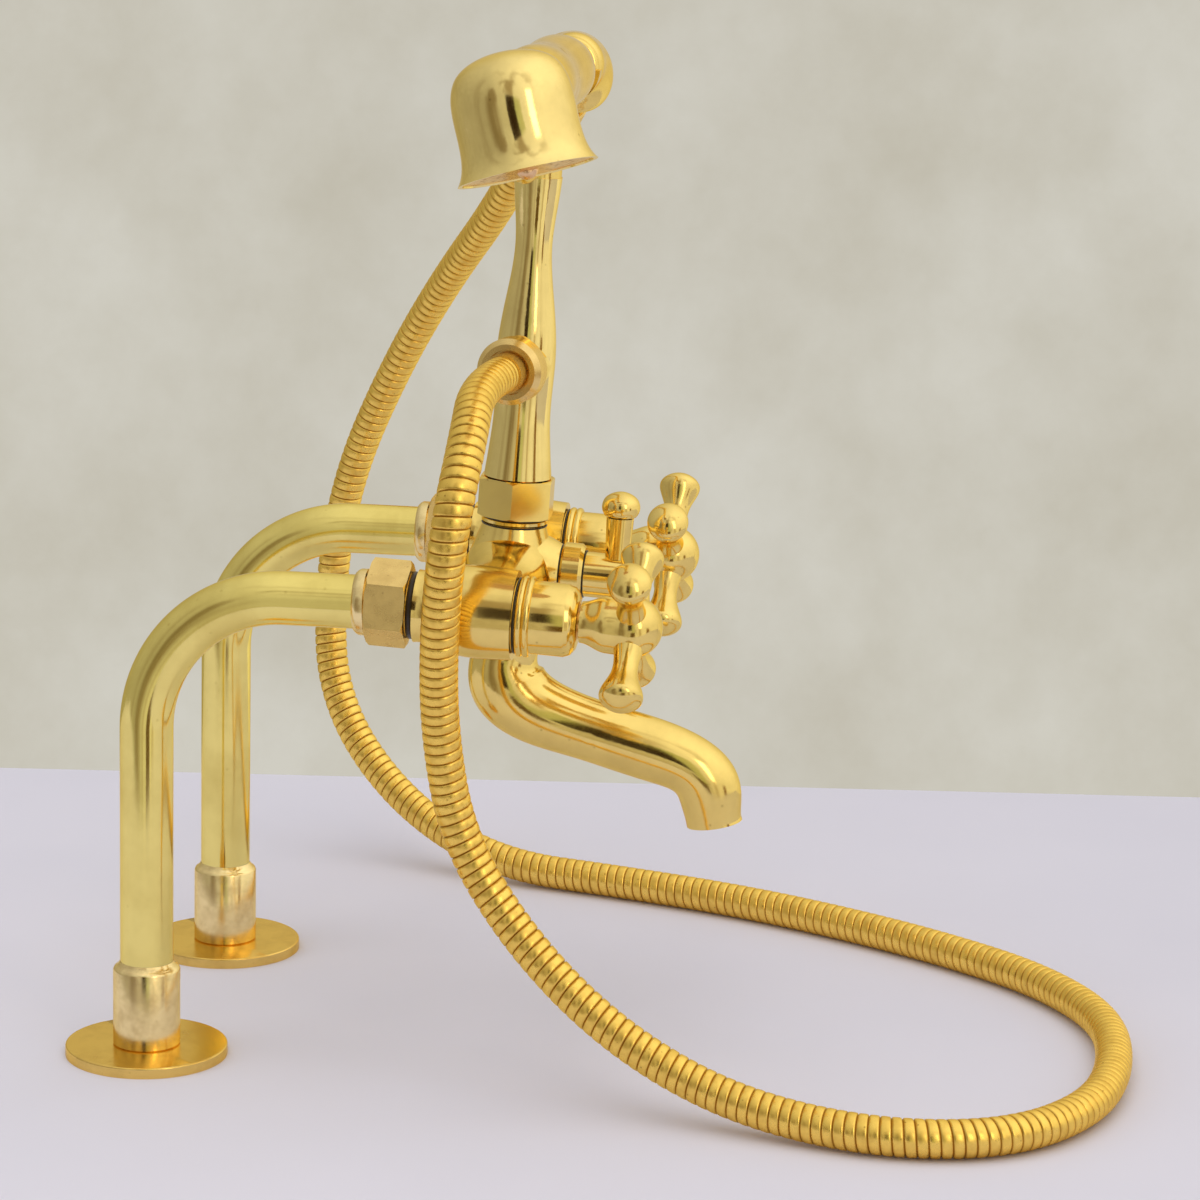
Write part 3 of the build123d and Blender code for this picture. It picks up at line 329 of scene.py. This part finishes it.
def brass_strip(name, colour, worn, groove_colour, tarnish):
    """Interlocked brass strip: bright bands that turn brown towards the bottom of each groove,
    which the mesh's own groove attribute marks, and small dark specks."""
    material, tree, out = new_material(name)
    place = add_node(tree, "ShaderNodeTexCoord").outputs["Object"]
    groove = add_node(tree, "ShaderNodeAttribute", attribute_name="groove").outputs["Fac"]
    patches = noise(tree, place, 1 / (6 * MM), 4.0, 0.6)
    clouded = mixed(tree, spread(tree, patches, 0.45, 0.8, 0.0, 0.35), colour, worn)
    grooved = mixed(tree, groove, clouded, groove_colour)
    spotted = speckled(tree, place, grooved, tarnish, 5, 0.5, 0.04, 0.11)
    fine = noise(tree, place, 1 / (0.9 * MM), 3.0)
    surfaced(tree, out,
             {"Base Color": spotted, "Roughness": spread(tree, patches, 0.3, 0.7, 0.24, 0.36),
              "Normal": bumped(tree, fine, 0.35, 0.03)},
             {"Metallic": 1.0, "Specular Tint": linear(EDGE_TINT)})
    return material


def woven_cotton(name, colour, other):
    """Plain cloth: two close shades in soft clouds, and the relief of a fine weave."""
    material, tree, out = new_material(name)
    place = add_node(tree, "ShaderNodeTexCoord").outputs["Object"]
    surfaced(tree, out,
             {"Base Color": mixed(tree, noise(tree, place, 6.0, 3.0), colour, other),
              "Normal": bumped(tree, noise(tree, place, 900.0, 2.0), 0.2, 0.2)},
             {"Roughness": 0.9, "Specular IOR Level": 0.2})
    return material


def glowing_sheet(name, colour, other):
    """A glowing sheet, a painted reflection, that shows its two clouded colours evenly, whatever
    the light.
    """
    material, tree, out = new_material(name)
    place = add_node(tree, "ShaderNodeTexCoord").outputs["Object"]
    clouded = mixed(tree, noise(tree, place, 3.0), colour, other)
    glow = add_node(tree, "ShaderNodeEmission", {"Color": clouded}, {"Strength": 1.0})
    tree.links.new(glow.outputs["Emission"], out.inputs["Surface"])
    return material


def smooth_group(angle):
    """A modifier group that joins a CAD mesh's loose triangles and smooths it up to an angle."""
    group = bpy.data.node_groups.new("smooth_within_angle", "GeometryNodeTree")
    group.is_modifier = True
    group.interface.new_socket("Geometry", in_out="INPUT", socket_type="NodeSocketGeometry")
    group.interface.new_socket("Geometry", in_out="OUTPUT", socket_type="NodeSocketGeometry")
    start = add_node(group, "NodeGroupInput")
    joined = add_node(group, "GeometryNodeMergeByDistance", {"Geometry": start.outputs[0]},
                      {"Distance": JOIN_WITHIN * MM})
    turn = add_node(group, "GeometryNodeInputMeshEdgeAngle")
    soft = add_node(group, "FunctionNodeCompare", {"A": turn.outputs["Unsigned Angle"]},
                    {"B": angle}, data_type="FLOAT", operation="LESS_EQUAL")
    faces = add_node(group, "GeometryNodeSetShadeSmooth", {"Geometry": joined.outputs["Geometry"]},
                     {"Shade Smooth": True}, domain="FACE")
    edges = add_node(
        group, "GeometryNodeSetShadeSmooth",
        {"Geometry": faces.outputs["Geometry"], "Shade Smooth": soft.outputs["Result"]},
        domain="EDGE")
    add_node(group, "NodeGroupOutput", {0: edges.outputs["Geometry"]})
    return group


def nodes_named(pattern):
    """The nodes that a name in the finish table stands for."""
    if "*" in pattern:
        return [NODES[pattern.replace("*", side)] for side in ("left", "right")]
    return [NODES[pattern]]


def spline_points(route, resolution=24):
    """Points along the smooth NURBS line that has the route as its control points, read from
    Blender's own curve. Points that fall on one another are left out."""
    curve = bpy.data.curves.new("hose_line", "CURVE")
    curve.dimensions = "3D"
    spline = curve.splines.new("NURBS")
    spline.points.add(len(route) - 1)
    homogeneous = np.column_stack((np.array(route), np.ones(len(route))))
    spline.points.foreach_set("co", homogeneous.ravel())
    spline.order_u = 3
    spline.use_endpoint_u = True
    spline.resolution_u = resolution
    holder = bpy.data.objects.new("hose_line", curve)
    mesh = bpy.data.meshes.new_from_object(holder)
    points = np.empty(len(mesh.vertices) * 3)
    mesh.vertices.foreach_get("co", points)
    bpy.data.objects.remove(holder)
    bpy.data.curves.remove(curve)
    bpy.data.meshes.remove(mesh)
    points = points.reshape(-1, 3)
    return points[np.r_[True, np.linalg.norm(np.diff(points, axis=0), axis=1) > SAME_POINT]]


def along_line(points, places):
    """Points, and unit tangents, at those distances along a line of points."""
    length = np.r_[0, np.cumsum(np.linalg.norm(np.diff(points, axis=0), axis=1))]
    on_line = np.column_stack([np.interp(places, length, points[:, k]) for k in range(3)])
    slope = np.gradient(points, length, axis=0)
    tangent = np.column_stack([np.interp(places, length, slope[:, k]) for k in range(3)])
    return on_line, tangent / np.linalg.norm(tangent, axis=1)[:, None]


def steady_frames(tangent, places):
    """Two unit directions across a line that turn with it without twisting round it. They are first
    squared off from one direction, the one of a sphere of choices that the line stays furthest
    from, and the twist that this gives is summed along the line and taken out."""
    rows, columns = FAR_CHOICES
    choice = np.indices((rows, columns)).reshape(2, -1)
    lift, turn = np.pi * (choice[0] + 0.5) / rows, 2 * np.pi * choice[1] / columns
    choices = np.column_stack(
        (np.sin(lift) * np.cos(turn), np.sin(lift) * np.sin(turn), np.cos(lift)))
    far = choices[np.argmin(np.abs(choices @ tangent.T).max(axis=1))]
    across = np.cross(tangent, far)
    across /= np.linalg.norm(across, axis=1)[:, None]
    over = np.cross(tangent, across)
    twist = np.einsum("ij,ij->i", np.gradient(across, places, axis=0), over)
    angle = -np.r_[0, np.cumsum((twist[1:] + twist[:-1]) / 2 * np.diff(places))][:, None]
    return (across * np.cos(angle) + over * np.sin(angle),
            over * np.cos(angle) - across * np.sin(angle))


def ribbed_tube(name, line, sizes):
    """A ribbed tube wound like a screw round a line. Its radius is half the diameter less the rib's
    dip at that place, and each point's place along the line also grows by one pitch for each turn
    round it."""
    total = np.linalg.norm(np.diff(line, axis=0), axis=1).sum()
    ribs = int(total / sizes.rib_pitch)
    pitch = total / ribs
    turn = 2 * np.pi * np.arange(sizes.hose_sides) / sizes.hose_sides
    start = np.r_[(np.arange(-1, ribs + 1)[:, None] + RIB_SHARE).ravel(), ribs + 1] * pitch
    depth = np.r_[np.tile(RIB_DIP, ribs + 2), RIB_DIP[0]] * sizes.rib_depth
    place = np.clip(start[:, None] + pitch * turn / (2 * np.pi), 0, total)
    stations = np.linspace(0, total, HOSE_STATIONS)
    centre, tangent = along_line(line, stations)
    across, over = steady_frames(tangent, stations)

    def at(values):
        return np.stack([np.interp(place, stations, values[:, k]) for k in range(3)], axis=-1)

    radius = (sizes.hose_diameter / 2 - depth)[:, None, None]
    side = at(across) * np.cos(turn)[None, :, None] + at(over) * np.sin(turn)[None, :, None]
    points = at(centre) + side / np.linalg.norm(side, axis=-1)[..., None] * radius
    # Each row's last point joins the row one rib further on.
    rows, sides = points.shape[:2]
    rib = len(RIB_SHARE)
    index = np.arange(rows * sides).reshape(rows, sides)
    after = np.roll(index, -1, axis=1)
    after[:, -1] = np.r_[index[rib:, 0], index[-rib:, 0]]
    quads = np.stack((index[:-1], index[1:], after[1:], after[:-1]), axis=-1)[:rows - 1 - rib]
    mesh = bpy.data.meshes.new(name)
    mesh.from_pydata(points.reshape(-1, 3), [], quads.reshape(-1, 4).tolist())
    mesh.polygons.foreach_set("use_smooth", np.ones(len(mesh.polygons), bool))
    groove_share = np.clip(depth / sizes.rib_depth, 0, 1) ** GROOVE_FADE
    groove = mesh.attributes.new("groove", "FLOAT", "POINT")
    groove.data.foreach_set("value", np.repeat(groove_share, sides))
    mesh.update()
    return mesh


def ring_mesh(name, centre, radius, wire, length, turn):
    """A thin band round an axis in the y and z plane, turned from the y axis by an angle. A small
    circle of the wire's radius is pulled apart by the length along the axis, and carried round the
    large circle."""
    around = np.arange(RING_STEPS) * (math.tau / RING_STEPS)
    section = np.arange(WIRE_STEPS) * (math.tau / WIRE_STEPS)
    out = radius + wire * np.cos(section)
    along = wire * np.sin(section) + np.sign(np.sin(section)) * length / 2
    x = np.cos(around)[:, None] * out
    z = np.sin(around)[:, None] * out
    y = np.broadcast_to(along, x.shape)
    ahead = y * math.cos(turn) - z * math.sin(turn)
    up = y * math.sin(turn) + z * math.cos(turn)
    points = np.stack((x, ahead, up), axis=-1) + np.array(centre)
    index = np.arange(RING_STEPS * WIRE_STEPS).reshape(RING_STEPS, WIRE_STEPS)
    on = np.roll(index, -1, axis=0)
    faces = np.stack((index, on, np.roll(on, -1, axis=1), np.roll(index, -1, axis=1)), axis=-1)
    mesh = bpy.data.meshes.new(name)
    mesh.from_pydata(points.reshape(-1, 3), [], faces.reshape(-1, 4).tolist())
    mesh.shade_smooth()
    return mesh


def leaned(point):
    """A point in mm, moved as the lean moves it, in metres."""
    angle = math.radians(DROOP)
    ahead, up = point[1] - PIVOT[0], point[2] - PIVOT[1]
    return (point[0] * MM,
            (PIVOT[0] + ahead * math.cos(angle) - up * math.sin(angle)) * MM,
            (PIVOT[1] + ahead * math.sin(angle) + up * math.cos(angle)) * MM)


def placed(name, data):
    """A new object with that data, in the scene."""
    item = bpy.data.objects.new(name, data)
    bpy.context.scene.collection.objects.link(item)
    return item


def sheet_of(name, corners):
    """A flat four-sided sheet for the stage, placed in the scene."""
    mesh = bpy.data.meshes.new(name)
    mesh.from_pydata(corners, [], [(0, 1, 2, 3)])
    item = placed(name, mesh)
    return item


def aimed_light(name, place, size, power, colour, mirrored):
    """A soft rectangular lamp that faces the middle of the mixer."""
    data = bpy.data.lights.new(name, "AREA")
    data.shape = "RECTANGLE"
    data.size, data.size_y = size
    data.energy = power
    data.color = linear(colour)[:3]
    lamp = placed(name, data)
    lamp.location = place
    lamp.rotation_mode = "QUATERNION"
    lamp.rotation_quaternion = (Vector(MIDDLE) - Vector(place)).to_track_quat("-Z", "Y")
    lamp.visible_glossy = mirrored


def set_camera():
    """The camera, as solved from the photo. Its two directions are squared off first."""
    data = bpy.data.cameras.new("camera")
    data.sensor_width, data.lens = CAMERA_SENSOR, CAMERA_LENS
    data.clip_start, data.clip_end = CAMERA_RANGE
    camera = placed("camera", data)
    right = Vector(CAMERA_RIGHT)
    back = right.cross(Vector(CAMERA_UP)).normalized()
    up = back.cross(right).normalized()
    turn = Matrix((right.normalized(), up, back)).transposed().to_4x4()
    camera.matrix_world = Matrix.Translation(CAMERA_PLACE) @ turn
    return camera


def room(name, wall_colour):
    """The world. The camera sees a pale mottled wall and dull surfaces get an even pale light.
    Metal mirrors the same wall, brighter towards the top and towards -y, with dim patches towards
    -x."""
    world = bpy.data.worlds.new(name)
    world.use_nodes = True
    tree = world.node_tree
    tree.nodes.clear()
    direction = add_node(tree, "ShaderNodeTexCoord").outputs["Generated"]
    mottle = spread(tree, noise(tree, direction, 14.0, 6.0, 0.62), 0.35, 0.7)
    wall = mixed(tree, mottle, wall_colour, "#BFBAAB")
    axes = add_node(tree, "ShaderNodeSeparateXYZ", {"Vector": direction})
    bright = mixed(tree, spread(tree, axes.outputs["Z"], 0.1, 0.9), wall, "#F2EFE6")
    tall = add_node(tree, "ShaderNodeMapping", {"Vector": direction}, {"Scale": (3.2, 3.2, 1.1)})
    patches = spread(tree, noise(tree, tall.outputs["Vector"], 1.0, 3.0), 0.48, 0.62, 0.0, 0.75)
    behind = spread(tree, axes.outputs["X"], -0.25, -0.75)
    share = add_node(tree, "ShaderNodeMath", {0: behind, 1: patches}, operation="MULTIPLY")
    mirrored = add_node(tree, "ShaderNodeBackground",
                        {"Color": mixed(tree, share.outputs["Value"], bright, "#857048"),
                         "Strength": spread(tree, axes.outputs["Y"], 0.6, -0.8, 0.72, 1.6)})
    seen = add_node(tree, "ShaderNodeBackground", {"Color": wall}, {"Strength": 1.02})
    light = add_node(tree, "ShaderNodeBackground",
                     values={"Color": linear("#EDEBEA"), "Strength": 0.62})
    ray = add_node(tree, "ShaderNodeLightPath")
    glossy = add_node(
        tree, "ShaderNodeMixShader",
        {0: ray.outputs["Is Glossy Ray"], 1: light.outputs[0], 2: mirrored.outputs[0]})
    both = add_node(
        tree, "ShaderNodeMixShader",
        {0: ray.outputs["Is Camera Ray"], 1: glossy.outputs[0], 2: seen.outputs[0]})
    add_node(tree, "ShaderNodeOutputWorld", {"Surface": both.outputs[0]})
    return world


class MIXER_OT_metal(bpy.types.Operator):
    """Give each CAD piece its metal, rubber or ceramic and shade it smooth"""

    bl_idname = "mixer.metal"
    bl_label = "Metal finishes"

    def execute(self, context):
        colours, sizes = context.scene.mixer_colours, context.scene.mixer_sizes
        tarnish = colours.tarnish
        finishes = (
            # Drawn tube, buffed along its length: a pale lemon mirror with faint cloudy patches.
            brass("drawn_brass_tube_polished", colours.tube, "#B99A3E", (0.10, 0.17),
                  patch=30, patch_share=0.35, grain=(1.2, 1.2, 4.0),
                  speck_size=9, speck_share=0.25),
            # Collars brazed on: paler, with solder specks and a rubbed skin.
            brass("bronze_collar_soldered", colours.collar, "#9C6B2F", (0.14, 0.26),
                  patch=7, patch_share=0.35, grain=(0.8, 0.8, 0.8), grain_height=0.02,
                  speck_size=3.2, speck_share=0.55),
            # Turned discs: fine rings and a deeper gold.
            brass("turned_brass_disc", colours.turned, tarnish, (0.16, 0.28),
                  patch=14, patch_share=0.22, grain=(0.7, 0.7, 0.7), grain_height=0.02,
                  speck_size=4, speck_share=0.35, lathe=True),
            # Castings buffed to a mirror: soft waves and few pores.
            brass("cast_brass_mirror_polished", colours.cast, tarnish, (0.10, 0.18),
                  patch=16, patch_share=0.16, grain=(1.6, 1.6, 1.6), grain_height=0.014,
                  speck_size=7, speck_share=0.4),
            # Spun sheet: the same mirror with long faint lines.
            brass("spun_brass_polished", colours.spun, tarnish, (0.08, 0.15),
                  patch=18, patch_share=0.16, grain=(2.2, 2.2, 0.6),
                  speck_size=8, speck_share=0.3),
            # Machined nuts: satin faces with fine milling lines.
            brass("machined_brass_satin", colours.nut, tarnish, (0.20, 0.32),
                  patch=9, patch_share=0.2, grain=(0.35, 3.0, 0.35), grain_height=0.004,
                  speck_size=6, speck_share=0.3),
            # Pressed sheet: pinkish, slightly dull.
            brass("pressed_brass_sheet", colours.plate, "#8A5A2A", (0.18, 0.3),
                  patch=12, patch_share=0.25, grain=(0.8, 0.8, 0.8), grain_height=0.02,
                  speck_size=4, speck_share=0.3),
            moulded("black_rubber_moulded", "#17171A", "#26262A", 0.6, 1.2),
            moulded("alumina_ceramic_lapped", "#EDECE8", "#E2E0DA", 0.18, 2.0),
        )
        group = smooth_group(sizes.smooth_angle)
        for finish, patterns in zip(finishes, FINISH_OF.values()):
            for piece in (piece for pattern in patterns for piece in nodes_named(pattern)):
                piece.data.materials.clear()
                piece.data.materials.append(finish)
                piece.modifiers.new("smooth", "NODES").node_group = group
        return {"FINISHED"}


class MIXER_OT_seams(bpy.types.Operator):
    """Lay dark rings at the gaps between pieces: painted shade where a thread or a gap lies in
    shadow, and the dark line of a sealing ring
    """

    bl_idname = "mixer.seams"
    bl_label = "Dark seams"

    def execute(self, context):
        # Near black for all the rings: painted shade of threads and gaps, and at the column a dark
        # sealing ring.
        dark = moulded("gap_shade_and_seal_dark", "#1C1206", "#33230C", 0.35, 2.0)
        for name, body, centre, radius, wire, length, turn in SEAMS:
            mesh = ring_mesh(name, leaned(centre), radius * MM, wire * MM, length * MM,
                             math.radians(DROOP + turn))
            piece = placed(name, mesh)
            piece.data.materials.append(dark)
            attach(piece, body)
        return {"FINISHED"}


class MIXER_OT_hose(bpy.types.Operator):
    """Build the ribbed brass hose round its smooth line"""

    bl_idname = "mixer.hose"
    bl_label = "Ribbed hose"

    def execute(self, context):
        colours, sizes = context.scene.mixer_colours, context.scene.mixer_sizes
        line = spline_points(HOSE_ROUTE)
        hose = placed("shower_hose_ribbed", ribbed_tube("shower_hose_ribbed", line, sizes))
        hose.data.materials.append(
            brass_strip("interlocked_brass_strip", colours.hose, "#A87A28", "#A66F1E",
                        colours.tarnish))
        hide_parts("shower_hose")
        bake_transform(hose)
        return {"FINISHED"}


class MIXER_OT_stage(bpy.types.Operator):
    """Lay the pale floor, light it softly and set the camera"""

    bl_idname = "mixer.stage"
    bl_label = "Stage"

    def execute(self, context):
        scene, colours = context.scene, context.scene.mixer_colours
        scene.view_settings.view_transform = "Standard"
        scene.camera = set_camera()
        floor = sheet_of("floor", FLOOR)
        floor.data.materials.append(woven_cotton("cotton_cloth_woven", colours.floor, "#DBD9E4"))
        scene.world = room("room", colours.wall)
        for lamp in LAMPS:
            aimed_light(*lamp)
        # Glowing sheets that only polished metal mirrors: painted reflections round the mixer.
        for name, colour, other, low, high in CARDS:
            corners = [low, (*high[:2], low[2]), high, (*low[:2], high[2])]
            card = sheet_of(name, corners)
            card.visible_camera = card.visible_diffuse = card.visible_shadow = False
            card.data.materials.append(glowing_sheet(name + "_glow", colour, other))
        return {"FINISHED"}


class MIXER_PT_panel(bpy.types.Panel):
    """The mixer's sizes, colours and steps"""

    bl_idname = "MIXER_PT_panel"
    bl_label = "Bath shower mixer"
    bl_space_type = "VIEW_3D"
    bl_region_type = "UI"
    bl_category = "Mixer"

    def draw(self, context):
        for group in (context.scene.mixer_sizes, context.scene.mixer_colours):
            for name in group.__annotations__:
                self.layout.prop(group, name)
        for step in STEPS:
            self.layout.operator(step.bl_idname)


STEPS = (MIXER_OT_metal, MIXER_OT_seams, MIXER_OT_hose, MIXER_OT_stage)
CLASSES = (MixerSizes, MixerColours) + STEPS + (MIXER_PT_panel,)


def register():
    for item in CLASSES:
        bpy.utils.register_class(item)
    bpy.types.Scene.mixer_sizes = PointerProperty(type=MixerSizes)
    bpy.types.Scene.mixer_colours = PointerProperty(type=MixerColours)


def unregister():
    del bpy.types.Scene.mixer_colours
    del bpy.types.Scene.mixer_sizes
    for item in reversed(CLASSES):
        bpy.utils.unregister_class(item)


def main():
    register()
    bpy.ops.mixer.metal()
    bpy.ops.mixer.seams()
    bpy.ops.mixer.hose()
    bpy.ops.mixer.stage()
    bpy.context.view_layer.update()


if __name__ == "__main__":
    main()
